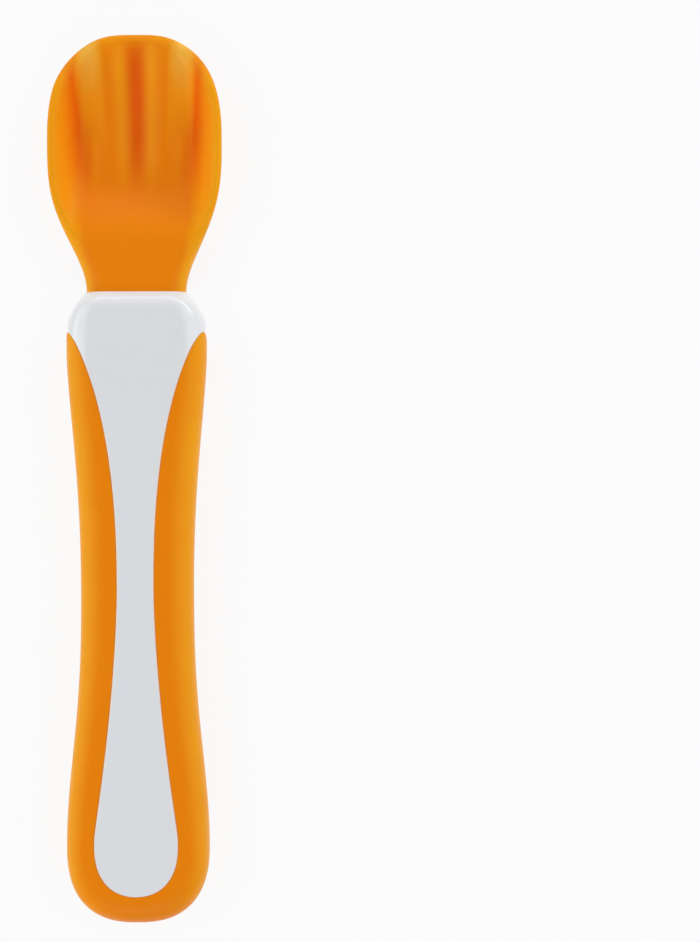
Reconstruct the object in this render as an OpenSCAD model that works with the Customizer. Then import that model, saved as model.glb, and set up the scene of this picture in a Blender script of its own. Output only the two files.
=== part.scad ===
// Soft-tipped baby spoon: a hard handle core with a soft grip moulded round its sides and butt,
// and a soft fluted bowl head on a hard insert that snaps into the handle's collar.
// It lies on its back on a table at z = 0, with the bowl open upwards and its tip towards +y.
// Sizes are in millimetres.

/* [Lengths] */
// Bowl head that shows, from its tip to the collar
bowl_l = 40.6; // [36:0.2:46]
// Handle, from the collar's front to the butt end
handle_l = 99.4; // [92:0.2:120]
// Thickness of the handle
handle_t = 10; // [8.4:0.2:13]

/* [Handle outline] */
// Width of the collar where it would be fully swollen
collar_w = 22.2; // [20:0.1:25]
// Length over which the collar swells out from the neck
collar_l = 7.2; // [6.6:0.1:10]
// Length over which the collar's faces rise to the full thickness
collar_rise = 3; // [2:0.1:5]
// How far each side draws in at the grip's tips
notch_in = 0.34; // [0.1:0.02:0.5]
// Length over which the collar's sides roll in to the grip's tips
notch_roll = 1.9; // [1:0.1:3]
// Width of the grip at its shoulders
shoulder_w = 22.1; // [20:0.1:26]
// Distance of the shoulders behind the collar's front
shoulder_at = 10; // [8.6:0.1:12]
// Width of the waist
waist_w = 17.8; // [16:0.1:20.4]
// Distance of the waist behind the collar's front
waist_at = 46.6; // [42:0.5:54]
// Width of the butt at its fullest
butt_w = 22.5; // [20:0.1:27]
// Length of the rounded butt end
butt_round = 12.2; // [11:0.1:16]
// Width over which the faces round off into the sides
edge_round = 4.3; // [3.2:0.1:4.8]
// Height of the flat land along the mould's parting line
parting_land = 0.3; // [0.2:0.05:0.5]

/* [Panels] */
// Distance of the grip's two tips behind the collar's front
notch_at = 6.4; // [4.5:0.1:7.2]
// Width of the hard panel at the waist
panel_waist_w = 5.9; // [4:0.1:7.6]
// Width of the hard panel near the butt
panel_butt_w = 14.1; // [10:0.1:14.5]
// Length of the panel's rounded end
panel_round = 11.4; // [9:0.1:14]
// Width of the soft band round the butt, beyond the panel
butt_band = 4.65; // [3:0.05:6]

/* [Grip] */
// Thickness of the soft grip outside the core's web
grip_wall = 1.8; // [1.2:0.1:2.2]
// Thickness of the core's web inside the grip
web_t = 4; // [3.2:0.1:5]
// Width of the grip's blunt tips
tip_w = 0.25; // [0.15:0.05:0.4]
// Diameter of the soft keys that run through the web
key_d = 1.8; // [1:0.1:2]
// Number of keys along each side
key_count = 5; // [2:1:7]
// Distance of the first key behind the grip's tips
key_first = 18; // [15:0.5:22]
// Distance of the last key ahead of the butt end
key_last = 22; // [18:0.5:28]

/* [Bowl] */
// Width of the bowl
bowl_w = 27.4; // [25:0.1:34]
// Distance of the bowl's widest place from its tip
bowl_wide_at = 17; // [15:0.1:19]
// Depth of the bowl below its rim, down to its flutes
bowl_depth = 6.2; // [5:0.1:7.4]
// Depth of the tip's edge below the rim of the side walls, down to its flutes
tip_depth = 2.4; // [1.4:0.1:3.2]
// Distance from the tip over which the side walls rise
tip_open = 9; // [6:0.5:13]
// Distance from the tip at which the bowl has its full depth
basin_run = 15; // [11:0.5:17]
// Thickness of the bowl's floor under the flutes
floor_t = 1.9; // [1.5:0.1:2.5]
// Radius of the bowl's rounded lip
lip_round = 0.75; // [0.5:0.05:1]
// Width over which the lip turns into the bowl's wall
wall_round = 1; // [0.6:0.1:1.6]
// Clearance of the bowl's underside above the table
bowl_clear = 0.9; // [0.4:0.1:1.8]
// Length of plain neck between the basin and the collar
basin_back = 5.6; // [4:0.1:7]
// Length over which the basin's floor rises to the neck
basin_heel = 17.5; // [14:0.1:19]

/* [Flutes] */
// Height of the two ribs above the three flutes
rib_h = 1.4; // [0.4:0.05:1.6]
// Distance from the tip at which the ribs have their full height
rib_rise = 6; // [4:0.5:8]
// Distance between the two outer flutes at the tip
flute_tip_w = 20.6; // [19:0.1:22]
// Distance between the two outer flutes at the collar
flute_heel_w = 13.7; // [11:0.1:15]
// Distance from the tip at which the ribs start to fade
rib_fade_at = 15; // [11:0.5:17]
// Length over which the ribs fade out
rib_fade = 12; // [9:0.5:15]

/* [Neck] */
// Width of the neck where it meets the collar
neck_w = 15.7; // [15:0.1:18]
// Thickness of the neck
neck_t = 6.4; // [5.8:0.1:7.6]
// Width over which the neck's faces round off into its sides
neck_round = 3.2; // [2.4:0.1:4]
// Length over which the bowl's section turns into the neck's
neck_blend = 14; // [11:0.5:16]

/* [Plug and insert] */
// Width of the soft plug inside the collar
plug_w = 12.8; // [11.6:0.1:13.4]
// Thickness of the soft plug
plug_t = 4.4; // [4:0.1:4.8]
// Length of the soft plug
plug_l = 5; // [4:0.1:5.4]
// Width of the insert's blade
blade_w = 8.4; // [7.4:0.1:9]
// Thickness of the insert's blade
blade_t = 2.2; // [1.8:0.1:2.4]
// Reach of the blade into the bowl head, ahead of the collar's front
blade_reach = 9.2; // [8.6:0.1:9.6]
// Length of the blade behind the collar's front
blade_tail = 13; // [12:0.1:13.6]
// How far each barb stands out from the blade's side
barb_out = 0.8; // [0.4:0.1:1]
// Length of each barb
barb_l = 3.4; // [2.4:0.1:4]
// Diameter of the holes that lock the blade into the soft head
lock_d = 2.8; // [2:0.1:3.4]
// Clearance of the plug and the insert in the collar's socket
fit_gap = 0.1; // [0.05:0.01:0.15]

/* [Hidden] */
$fn = 48;

// Powers of the rounded outlines and of the eased stretches between them
collar_power = 2.4;
shoulder_power = 2.3;
notch_power = 2;
butt_power = 2.5;
panel_end_power = 2.2;
edge_power = 2.2;
bowl_tip_power = 2.53;
wall_power = 6;
under_power = 3;
waist_ease_share = 0.72;
butt_ease_share = 1.36;
bowl_ease_share = 1.53;
panel_front_shares = [0.83, 2.24];
panel_rear_share = 1.62;
basin_ease_share = 1.2;
// Slopes of the bowl's wall, inside and outside
wall_slope_share = 1.76;
under_slope_share = 1.9;
// Share of the ribs' height that they have at the tip's edge
rib_tip_share = 0.5;
// Powers that crowd the stations towards the collar's front, and towards the grip's tips
collar_spacing_share = 1.25;
straight_spacing_share = 1.3;

// Counts of the points that carry the curved faces
straight_steps = 26;
end_steps = 9;
edge_steps = 7;
collar_steps = 9;
panel_steps = 7;
tip_steps = 13;
heel_steps = 14;
flute_steps = 8;
first_tip_angle = 6;

// Shares of the lip, then of the wall between lip and outer flute, that carry points
rim_shares = [0, 0.15, 0.45, 1];
wall_shares = [0.1, 0.22, 0.5, 0.75, 0.9];
outer_flute_share = 0.94;
barb_flat_share = 0.35;
// Places of the two locking holes, as shares of the way to the centre of the blade's round front
lock_shares = [0.2, 1];

total_l = bowl_l + handle_l;
collar_y = handle_l - total_l / 2;
mid_z = handle_t / 2;
butt_at = handle_l - butt_round;
panel_end = handle_l - butt_band;
panel_round_at = panel_end - panel_round;
overrun = parting_land;

rim_z = bowl_clear + floor_t + bowl_depth;
neck_under_z = mid_z - neck_t / 2;
basin_end = bowl_l - basin_back;

function mix(a, b, t) = a + (b - a) * t;
function clamp(t) = min(max(t, 0), 1);
function ease(t) = (1 - cos(180 * clamp(t))) / 2;

// Rise of a superellipse's quarter, from 0 at its edge to 1 at share 1 of the way in
function swell(t, power) = pow(1 - pow(1 - clamp(t), power), 1 / power);

// Half widths of the handle at a distance u behind the collar's front
function collar_half(u) =
    let (grown = 1 - pow(1 - clamp(u / collar_l), collar_power),
         rolled = pow(clamp((u - notch_at + notch_roll) / notch_roll), notch_power))
    mix(neck_w, collar_w, grown) / 2 - notch_in * rolled;
function shoulder_half(u) =
    let (t = (u - notch_at) / (shoulder_at - notch_at))
    mix(collar_half(notch_at), shoulder_w / 2, swell(t, shoulder_power));
function waist_half(u) =
    let (t = clamp((u - shoulder_at) / (waist_at - shoulder_at)))
    mix(shoulder_w, waist_w, ease(pow(t, waist_ease_share))) / 2;
function butt_half(u) =
    let (t = clamp((u - waist_at) / (butt_at - waist_at)))
    mix(waist_w, butt_w, ease(pow(t, butt_ease_share))) / 2;
function handle_half(u) =
    u < notch_at ? collar_half(u)
    : u < shoulder_at ? shoulder_half(u)
    : u < waist_at ? waist_half(u) : butt_half(u);

// Half widths of the hard panel, before its end is rounded
function panel_front_half(u) =
    let (t = clamp((u - notch_at) / (waist_at - notch_at)),
         along = pow(1 - pow(t, panel_front_shares[0]), panel_front_shares[1]))
    mix(panel_waist_w / 2, handle_half(notch_at) - tip_w, along);
function panel_rear_half(u) =
    let (t = (u - waist_at) / (panel_round_at + butt_band - waist_at))
    mix(panel_waist_w, panel_butt_w, pow(max(t, 0), panel_rear_share)) / 2;
function panel_half(u) = u < waist_at ? panel_front_half(u) : panel_rear_half(u);

// Half thickness of the handle's skin at a distance r in from its outline
function skin_half(r, round, half_t) =
    mix(parting_land / 2, half_t, swell(r / round, edge_power));

// Stations down one side of the handle and round its butt: a point on the panel's edge and one
// on the outline, each as [x, distance behind the collar's front]
straight_pairs = [
    for (i = [0 : straight_steps])
        let (f = pow(i / straight_steps, straight_spacing_share),
             in_u = mix(notch_at, panel_round_at, f),
             out_u = mix(notch_at, butt_at, f))
        [[panel_half(in_u), in_u], [handle_half(out_u), out_u]]
];
function round_point(half, length, start, angle, power) =
    [half * pow(cos(angle), 2 / power), start + length * pow(sin(angle), 2 / power)];
end_pairs = [
    for (i = [1 : end_steps])
        let (angle = 90 * i / end_steps,
             in_u = panel_round_at + panel_round * pow(sin(angle), 2 / panel_end_power))
        [[panel_half(in_u) * pow(cos(angle), 2 / panel_end_power), in_u],
         round_point(butt_w / 2, butt_round, butt_at, angle, butt_power)]
];
side_pairs = concat(straight_pairs, end_pairs);
last_pair = len(side_pairs) - 1;
function mirrored(pair) = [[-pair[0][0], pair[0][1]], [-pair[1][0], pair[1][1]]];
all_pairs = concat(side_pairs, [for (i = [last_pair - 1 : -1 : 0]) mirrored(side_pairs[i])]);

function band(pair) = norm(pair[1] - pair[0]);
// The first stations at which the panel's edge is on the flat face, and the web has room
flat_from = min([for (i = [0 : last_pair]) if (band(side_pairs[i]) >= edge_round) i]);
web_from = min([for (i = [0 : last_pair]) if (band(side_pairs[i]) >= 2 * grip_wall) i]);

function place(p, z) = [p[0], collar_y - p[1], mid_z + z];
function both_sides(points) =
    concat(points, [for (i = [len(points) - 1 : -1 : 0]) [-points[i][0], points[i][1]]]);

// Faces between the rows of a loft: each ring holds n points on top and n below, from +x to -x
function quad(a, b, c, d) = [[a, b, c], [a, c, d]];
function loft_faces(rings, n) = [
    for (k = [0 : rings - 2], j = [0 : n - 2])
        let (a = 2 * n * k + j, b = a + 2 * n)
        each concat(quad(a, b, b + 1, a + 1), quad(a + n, a + n + 1, b + n + 1, b + n)),
    for (k = [0 : rings - 2])
        let (a = 2 * n * k, b = a + 2 * n, e = n - 1)
        each concat(quad(a, a + n, b + n, b), quad(a + e, b + e, b + n + e, a + n + e)),
    for (j = [0 : n - 2])
        let (b = 2 * n * (rings - 1) + j)
        each concat(quad(j, j + 1, j + n + 1, j + n), quad(b, b + n, b + n + 1, b + 1))
];
module loft(tops, bottoms) {
    points = [for (k = [0 : len(tops) - 1]) each concat(tops[k], bottoms[k])];
    polyhedron(points, loft_faces(len(tops), len(tops[0])));
}

// Shares across a half width, from its edge at 1 to the middle and on to the far edge
function across(steps) = [for (i = [0 : 2 * steps]) cos(90 * i / steps)];

// The collar ahead of the grip's tips, which grows from the neck's section
function collar_row(i, side) =
    let (u = notch_at * pow(i / collar_steps, collar_spacing_share),
         half = collar_half(u),
         rise = 1 - pow(1 - clamp(u / collar_rise), collar_power),
         half_t = mix(neck_t, handle_t, rise) / 2,
         round = mix(neck_round, edge_round, clamp(u / notch_at)))
    [for (share = across(panel_steps))
        place([half * share, u], side * skin_half(half * (1 - abs(share)), round, half_t))];
module collar_head() {
    loft([for (i = [0 : collar_steps]) collar_row(i, 1)],
         [for (i = [0 : collar_steps]) collar_row(i, -1)]);
}

// The panel between the grip's tips, up to where its edge has reached the flat faces, and its
// narrower root that overlaps the flat-faced bar
function shoulder_row(half, u, width, side) =
    [for (share = across(panel_steps))
        place([half * share, u],
              side * skin_half(width + half * (1 - abs(share)), edge_round, mid_z))];
function shoulder_rows(side) =
    let (flat = side_pairs[flat_from])
    concat([for (i = [0 : flat_from])
               let (pair = side_pairs[i])
               shoulder_row(pair[0][0], pair[0][1], band(pair), side)],
           [shoulder_row(flat[0][0] - overrun, flat[0][1] + overrun, edge_round, side)]);
module panel_shoulder() {
    loft(shoulder_rows(1), shoulder_rows(-1));
}

module flat_outline(points) {
    polygon([for (p = points) [p[0], collar_y - p[1]]]);
}

// The panel's flat-faced bar, front face to back face
module panel_bar() {
    linear_extrude(handle_t)
        flat_outline(both_sides([for (i = [flat_from : last_pair]) side_pairs[i][0]]));
}

// The web that carries the grip, half way up the handle
module web() {
    edge = [for (i = [web_from : last_pair])
        let (pair = side_pairs[i])
        mix(pair[1], pair[0], grip_wall / band(pair))];
    difference() {
        translate([0, 0, mid_z - web_t / 2])
            linear_extrude(web_t)
                flat_outline(both_sides(edge));
        keys();
    }
}

// Places of the keys: half way across the web on each side
module keys() {
    for (i = [0 : key_count - 1], side = [-1, 1]) {
        u = mix(notch_at + key_first, handle_l - key_last, i / (key_count - 1));
        x = (panel_half(u) + handle_half(u) - grip_wall) / 2;
        translate([side * x, collar_y - u, mid_z - web_t])
            cylinder(d = key_d, h = 2 * web_t);
    }
}

// A bar along y with round sides, from u = start to u = end
module round_bar(width, thick, start, end) {
    translate([0, collar_y - start, mid_z])
        rotate([90, 0, 0]) {
            linear_extrude(end - start)
                square([width - thick, thick], center = true);
            for (side = [-1, 1])
                translate([side * (width - thick) / 2, 0, 0])
                    cylinder(d = thick, h = end - start);
        }
}

// The blade behind u = start in plan, grown by a gap for the socket: each side's barb has a
// square shoulder towards the mouth and a ramp towards the tail
module blade_plan(start, gap) {
    half = blade_w / 2 + gap;
    shoulder = blade_tail - barb_l;
    flat_outline(both_sides([
        [half, start],
        [half, shoulder - gap],
        [half + barb_out, shoulder - gap],
        [half + barb_out, shoulder + barb_l * barb_flat_share],
        [half, blade_tail + gap]
    ]));
}

module blade_bar(start, gap) {
    translate([0, 0, mid_z - blade_t / 2 - gap])
        linear_extrude(blade_t + 2 * gap)
            blade_plan(start, gap);
}

module socket() {
    round_bar(plug_w + 2 * fit_gap, plug_t + 2 * fit_gap, -overrun, plug_l + fit_gap);
    blade_bar(0, fit_gap);
}

module handle_core() {
    color([0.86, 0.88, 0.89])
        difference() {
            union() {
                collar_head();
                panel_shoulder();
                panel_bar();
                web();
            }
            socket();
        }
}

// One row of the grip, from the outline in to the panel's edge
function grip_row(i, side) =
    let (pair = all_pairs[i],
         width = band(pair),
         near_tip = min(i, len(all_pairs) - 1 - i) < flat_from,
         round = near_tip ? edge_round : min(edge_round, width))
    [for (j = [0 : edge_steps])
        let (r = width * (1 - cos(90 * j / edge_steps)))
        place(mix(pair[1], pair[0], r / width), side * skin_half(r, round, mid_z))];

module grip() {
    rows = [0 : len(all_pairs) - 1];
    color([0.90, 0.49, 0.08])
        difference() {
            loft([for (i = rows) grip_row(i, 1)], [for (i = rows) grip_row(i, -1)]);
            web();
        }
}

// Half width of the bowl head at a distance s from its tip
function bowl_half(s) = s < bowl_wide_at
    ? bowl_w / 2 * swell(s / bowl_wide_at, bowl_tip_power)
    : mix(bowl_w, neck_w,
          ease(pow((s - bowl_wide_at) / (bowl_l - bowl_wide_at), bowl_ease_share))) / 2;

// How far out a point lies in the bowl, from 0 in the middle to 1 on the outline
function outness(x, s) = s < bowl_wide_at
    ? pow(pow(abs(x) / (bowl_w / 2), bowl_tip_power)
        + pow(1 - s / bowl_wide_at, bowl_tip_power), 1 / bowl_tip_power)
    : abs(x) / bowl_half(s);
function inward(x, s) = (1 - min(outness(x, s), 1)) * bowl_half(max(s, bowl_wide_at));

// Lesser of two depths with the corner between them rounded, and 0 where either has run out
function soft_min(a, b, power) = min(a, b) <= 0
    ? 0
    : pow(pow(a, -power) + pow(b, -power), -1 / power);

// Distance of the outer flutes from the middle, and how far up a rib a point lies
function flute_half(s) = mix(flute_tip_w, flute_heel_w, s / bowl_l) / 2;
function ridge(x, s) = (1 - cos(360 * min(abs(x) / flute_half(s), 1))) / 2;
function rib_reach(s) =
    mix(rib_tip_share, 1, ease(s / rib_rise)) * (1 - ease((s - rib_fade_at) / rib_fade));

// Depths below the rim, of the flutes, of the fluted channel, of the bowl's wall and of the
// underside
function basin(s) =
    let (sunk = mix(tip_depth, bowl_depth, ease(s / basin_run)),
         rise = clamp(1 - (basin_end - s) / basin_heel))
    sunk * (1 - ease(pow(rise, basin_ease_share)));
function channel(x, s) = basin(s) - rib_h * rib_reach(s) * ridge(x, s);
function wall(inward) =
    let (past = max(inward - lip_round, 0))
    wall_slope_share * (past < wall_round ? past * past / (2 * wall_round) : past - wall_round / 2);
function under_mid(s) =
    let (rise = clamp((s - bowl_wide_at) / (bowl_l - bowl_wide_at)))
    mix(basin(min(s, bowl_wide_at)) + floor_t, rim_z - neck_under_z, ease(rise));

function neck_share(s) = ease((s - (bowl_l - basin_back / 2 - neck_blend)) / neck_blend);
function neck_face(x, s) = skin_half(bowl_half(s) - abs(x), neck_round, neck_t / 2);
// How far the outline cuts the channel open, so that the flutes run out through the tip's edge
function cut(x, s) = channel(x, s) * (1 - ease(s / tip_open));
function bowl_top(x, s) =
    let (lip = mix(parting_land / 2, lip_round, swell(inward(x, s) / lip_round, 2)),
         sunk = soft_min(wall(inward(x, s)), channel(x, s) - cut(x, s), wall_power))
    mix(rim_z - lip_round + lip - cut(x, s) - sunk, mid_z + neck_face(x, s), neck_share(s));
function bowl_under(x, s) =
    let (edge = lip_round + parting_land / 2 + cut(x, s),
         sunk = soft_min(under_slope_share * inward(x, s), under_mid(s) - edge, under_power))
    mix(rim_z - edge - sunk, mid_z - neck_face(x, s), neck_share(s));

tip_stations = [
    for (i = [0 : tip_steps])
        let (angle = mix(first_tip_angle, 90, i / tip_steps))
        bowl_wide_at * (1 - pow(cos(angle), 2 / bowl_tip_power))
];
heel_stations = [for (i = [1 : heel_steps]) mix(bowl_wide_at, bowl_l, i / heel_steps)];
bowl_stations = concat(tip_stations, heel_stations);

// Places across the bowl head, from its outline in to the middle
function bowl_across(s) =
    let (half = bowl_half(s),
         inner = half * (1 - lip_round / (bowl_w / 2)),
         valley = min(flute_half(s), inner * outer_flute_share))
    concat([for (share = rim_shares) mix(half, inner, share)],
           [for (share = wall_shares) mix(inner, valley, share)],
           [for (j = [flute_steps : -1 : 0]) valley * j / flute_steps]);
function bowl_places(s) =
    let (side = bowl_across(s), n = len(side))
    concat(side, [for (i = [n - 2 : -1 : 0]) -side[i]]);
function bowl_y(s) = collar_y + bowl_l - (s == bowl_stations[0] ? 0 : s);

module bowl_shell() {
    loft([for (s = bowl_stations) [for (x = bowl_places(s)) [x, bowl_y(s), bowl_top(x, s)]]],
         [for (s = bowl_stations) [for (x = bowl_places(s)) [x, bowl_y(s), bowl_under(x, s)]]]);
}

module bowl() {
    color([0.90, 0.49, 0.08])
        difference() {
            union() {
                bowl_shell();
                round_bar(plug_w, plug_t, -overrun, plug_l);
            }
            insert_blade();
        }
}

// The blade, round at the front, with two holes that the soft head fills
module insert_blade() {
    front = blade_reach - blade_w / 2;
    difference() {
        union() {
            blade_bar(-front, 0);
            translate([0, collar_y + front, mid_z - blade_t / 2])
                cylinder(d = blade_w, h = blade_t);
        }
        for (share = lock_shares)
            translate([0, collar_y + front * share, mid_z - blade_t])
                cylinder(d = lock_d, h = 2 * blade_t);
    }
}

module bowl_insert() {
    color([0.93, 0.92, 0.88])
        insert_blade();
}

handle_core();
grip();
bowl();
bowl_insert();
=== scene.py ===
"""Looks of a soft-tipped baby spoon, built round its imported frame.

The spoon lies on its back on a pale floor with its tip towards +Y and its bowl open upwards.
Lengths are in metres. A place along the handle is u, the distance behind the collar's front, and
a place along the bowl head is s, the distance from its tip.
"""

import logging
import math
from dataclasses import dataclass, field
from enum import Enum
from itertools import chain
from typing import NamedTuple, Sequence

import bmesh
import bpy
from mathutils import Matrix, Vector


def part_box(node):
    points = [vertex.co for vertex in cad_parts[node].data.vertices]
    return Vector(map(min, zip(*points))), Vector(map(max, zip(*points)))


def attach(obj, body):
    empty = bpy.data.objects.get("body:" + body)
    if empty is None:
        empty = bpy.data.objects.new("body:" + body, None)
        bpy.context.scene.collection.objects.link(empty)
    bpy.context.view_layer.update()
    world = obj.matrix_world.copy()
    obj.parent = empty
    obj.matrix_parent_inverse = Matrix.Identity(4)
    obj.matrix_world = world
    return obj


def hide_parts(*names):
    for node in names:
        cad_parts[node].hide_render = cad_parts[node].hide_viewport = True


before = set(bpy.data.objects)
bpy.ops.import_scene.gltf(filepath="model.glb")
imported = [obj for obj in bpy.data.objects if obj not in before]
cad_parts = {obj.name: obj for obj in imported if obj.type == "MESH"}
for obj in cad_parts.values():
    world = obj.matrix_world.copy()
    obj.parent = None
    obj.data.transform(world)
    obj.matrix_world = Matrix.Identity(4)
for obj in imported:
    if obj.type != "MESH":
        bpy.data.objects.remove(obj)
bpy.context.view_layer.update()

LOG = logging.getLogger("spoon")
MM = 0.001
BODY = "root"
NO_DEPTH = 1e-9
WHITE = (1.0, 1.0, 1.0, 1.0)
VALUE, VECTOR, COLOUR = "NodeSocketFloat", "NodeSocketVector", "NodeSocketColor"

Colour = tuple[float, float, float]
Face = bmesh.types.BMFace
Node = bpy.types.Node
Socket = bpy.types.NodeSocket


class Slot(Enum):
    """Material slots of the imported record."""

    HANDLE = "handle_plastic"
    GRIP = "grip_soft"
    BOWL = "bowl_soft"


class Mask(Enum):
    """Painted light, painted shade and painted highlights that a skin carries for its finish's
    colour.
    """

    GLOW = "painted_light"
    PAINTED_SHADE = "painted_shade"
    PAINTED_HIGHLIGHT = "painted_highlight"


class Spot(NamedTuple):
    """One point of a skin, with the painted light, painted shade and painted highlight that its
    colour carries there.
    """

    x: float
    y: float
    z: float
    painted_light: float = 0.0
    painted_shade: float = 0.0
    painted_highlight: float = 0.0


def mix(start: float, end: float, share: float) -> float:
    """Return the value at a share of the way from start to end."""
    return start + (end - start) * share


def clamp(share: float) -> float:
    """Return the share kept between 0 and 1."""
    return min(max(share, 0.0), 1.0)


def ease(share: float) -> float:
    """Return a rise from 0 to 1 that is level at both ends."""
    return (1.0 - math.cos(math.pi * clamp(share))) / 2.0


def swell(share: float, power: float) -> float:
    """Return the rise of a superellipse's quarter, steep at 0 and level at 1."""
    return (1.0 - (1.0 - clamp(share)) ** power) ** (1.0 / power)


def soft_min(first: float, second: float, power: float) -> float:
    """Return the lesser of two depths, with the corner between them rounded.

    Args:
        first: A depth.
        second: A depth.
        power: How tight the rounding is.

    Returns:
        The rounded depth, or 0 where either depth is 0.
    """
    if min(first, second) <= NO_DEPTH:
        return 0.0
    return (first**-power + second**-power) ** (-1.0 / power)


def steps(count: int) -> list[float]:
    """Return even shares from 0 to 1, both ends included."""
    return [i / count for i in range(count + 1)]


def arc(share: float) -> float:
    """Return the sine of a share of a quarter turn, whose steps crowd towards 1."""
    return math.sin(math.pi / 2.0 * share)


def put(name: str, data: bpy.types.ID) -> bpy.types.Object:
    """Put a new object into the scene.

    Args:
        name: Its name.
        data: Its mesh, light or camera.

    Returns:
        The object.
    """
    made = bpy.data.objects.new(name, data)
    bpy.context.scene.collection.objects.link(made)
    return made


def settle(name: str, mesh: bmesh.types.BMesh) -> bpy.types.Object:
    """Turn a finished mesh into an object of the scene.

    Args:
        name: Its name.
        mesh: The mesh, which is freed.

    Returns:
        The object.
    """
    data = bpy.data.meshes.new(name)
    mesh.to_mesh(data)
    mesh.free()
    return put(name, data)


@dataclass(frozen=True)
class HandleForm:
    """Outline and skin that the hard core and the soft grip share."""

    front_y: float
    length: float
    thickness: float
    neck_width: float = 15.7 * MM
    neck_thickness: float = 6.4 * MM
    neck_round: float = 3.2 * MM
    collar_width: float = 22.2 * MM
    collar_length: float = 7.2 * MM
    collar_rise: float = 3.0 * MM
    notch_at: float = 6.4 * MM
    notch_in: float = 0.34 * MM
    notch_roll: float = 1.9 * MM
    shoulder_width: float = 22.1 * MM
    shoulder_at: float = 10.0 * MM
    waist_width: float = 17.8 * MM
    waist_at: float = 46.6 * MM
    butt_width: float = 22.5 * MM
    butt_round: float = 12.2 * MM
    panel_waist_width: float = 5.9 * MM
    panel_butt_width: float = 14.1 * MM
    panel_round: float = 11.4 * MM
    butt_band: float = 4.65 * MM
    tip_width: float = 0.25 * MM
    edge_round: float = 4.3 * MM
    land: float = 0.3 * MM
    grip_wall: float = 1.8 * MM
    web_thickness: float = 4.0 * MM
    plug_width: float = 12.8 * MM
    plug_thickness: float = 4.4 * MM
    plug_length: float = 5.0 * MM
    web_room: float = 2.0
    collar_power: float = 2.4
    notch_power: float = 2.0
    shoulder_power: float = 4.3
    butt_power: float = 2.5
    panel_end_power: float = 2.2
    edge_power: float = 2.2
    waist_ease: float = 0.72
    butt_ease: float = 1.36
    panel_front_powers: tuple[float, float] = (0.83, 2.24)
    panel_rear_power: float = 1.62
    crowding: float = 1.6

    @property
    def middle_z(self) -> float:
        """Return the height of the parting line."""
        return self.thickness / 2.0

    @property
    def butt_at(self) -> float:
        """Return where the rounded butt begins."""
        return self.length - self.butt_round

    @property
    def panel_round_at(self) -> float:
        """Return where the panel's rounded end begins."""
        return self.length - self.butt_band - self.panel_round

    def notch(self, u: float) -> float:
        """Work out how far the outline rolls in beside the grip's tips.

        Args:
            u: Distance behind the collar's front.

        Returns:
            The depth of the notch, 0 away from the tips.
        """
        if u < self.notch_at:
            rolled = clamp(1.0 - (self.notch_at - u) / self.notch_roll)
            return self.notch_in * rolled**self.notch_power
        share = clamp((u - self.notch_at) / (self.shoulder_at - self.notch_at))
        return self.notch_in * (1.0 - share) ** self.shoulder_power

    def half(self, u: float) -> float:
        """Work out the handle's half width, from the collar to where the butt rounds.

        Args:
            u: Distance behind the collar's front.

        Returns:
            The half width.
        """
        if u < self.notch_at:
            grown = 1.0 - (1.0 - u / self.collar_length) ** self.collar_power
            return mix(self.neck_width, self.collar_width, grown) / 2.0 - self.notch(u)
        if u < self.shoulder_at:
            share = (u - self.notch_at) / (self.shoulder_at - self.notch_at)
            return mix(self.collar_width, self.shoulder_width, ease(share)) / 2.0 - self.notch(u)
        if u < self.waist_at:
            share = (u - self.shoulder_at) / (self.waist_at - self.shoulder_at)
            return mix(self.shoulder_width, self.waist_width, ease(share**self.waist_ease)) / 2.0
        share = clamp((u - self.waist_at) / (self.butt_at - self.waist_at))
        return mix(self.waist_width, self.butt_width, ease(share**self.butt_ease)) / 2.0

    def panel_half(self, u: float) -> float:
        """Work out the hard panel's half width, before its end rounds off.

        Args:
            u: Distance behind the collar's front.

        Returns:
            The half width.
        """
        if u < self.waist_at:
            share = clamp((u - self.notch_at) / (self.waist_at - self.notch_at))
            first, second = self.panel_front_powers
            widest = self.half(self.notch_at) - self.tip_width
            return mix(self.panel_waist_width / 2.0, widest, (1.0 - share**first) ** second)
        reach = self.panel_round_at + self.butt_band - self.waist_at
        share = max((u - self.waist_at) / reach, 0.0) ** self.panel_rear_power
        return mix(self.panel_waist_width, self.panel_butt_width, share) / 2.0

    def face(self, inward: float, u: float, rounding: float) -> float:
        """Return the height of the handle's face above the parting line.

        Args:
            inward: Distance in from the outline.
            u: Place along the handle.
            rounding: Width over which the face rounds off into the side.

        Returns:
            The height, to which the notch beside the grip's tips makes no difference.
        """
        return self.skin(inward + self.notch(u), rounding, self.middle_z)

    def skin(self, inward: float, rounding: float, half_thickness: float) -> float:
        """Return the half thickness of the skin at a distance in from the outline.

        Args:
            inward: Distance in from the outline.
            rounding: Width over which the face rounds off into the side.
            half_thickness: Half thickness where the face is flat.

        Returns:
            The height of the face above the parting line.
        """
        return mix(self.land / 2.0, half_thickness, swell(inward / rounding, self.edge_power))

    def pair(self, place: float) -> tuple[Vector, Vector]:
        """Find a point of the panel's edge and the outline's point that goes with it.

        Args:
            place: 0 at the grip's tip, 1 where the ends begin to round, 2 at the butt's middle.

        Returns:
            The two points, each as x and u.
        """
        if place <= 1.0:
            share = place**self.crowding
            inner_u = mix(self.notch_at, self.panel_round_at, share)
            outer_u = mix(self.notch_at, self.butt_at, share)
            inner = Vector((self.panel_half(inner_u), inner_u))
            return inner, Vector((self.half(outer_u), outer_u))
        angle = math.pi / 2.0 * min(place - 1.0, 1.0)
        across, along = max(math.cos(angle), 0.0), math.sin(angle)
        inner_u = self.panel_round_at + self.panel_round * along ** (2.0 / self.panel_end_power)
        inner_x = self.panel_half(inner_u) * across ** (2.0 / self.panel_end_power)
        outer_x = self.butt_width / 2.0 * across ** (2.0 / self.butt_power)
        outer_u = self.butt_at + self.butt_round * along ** (2.0 / self.butt_power)
        if place >= 2.0:
            inner_x = outer_x = 0.0
        return Vector((inner_x, inner_u)), Vector((outer_x, outer_u))

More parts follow.
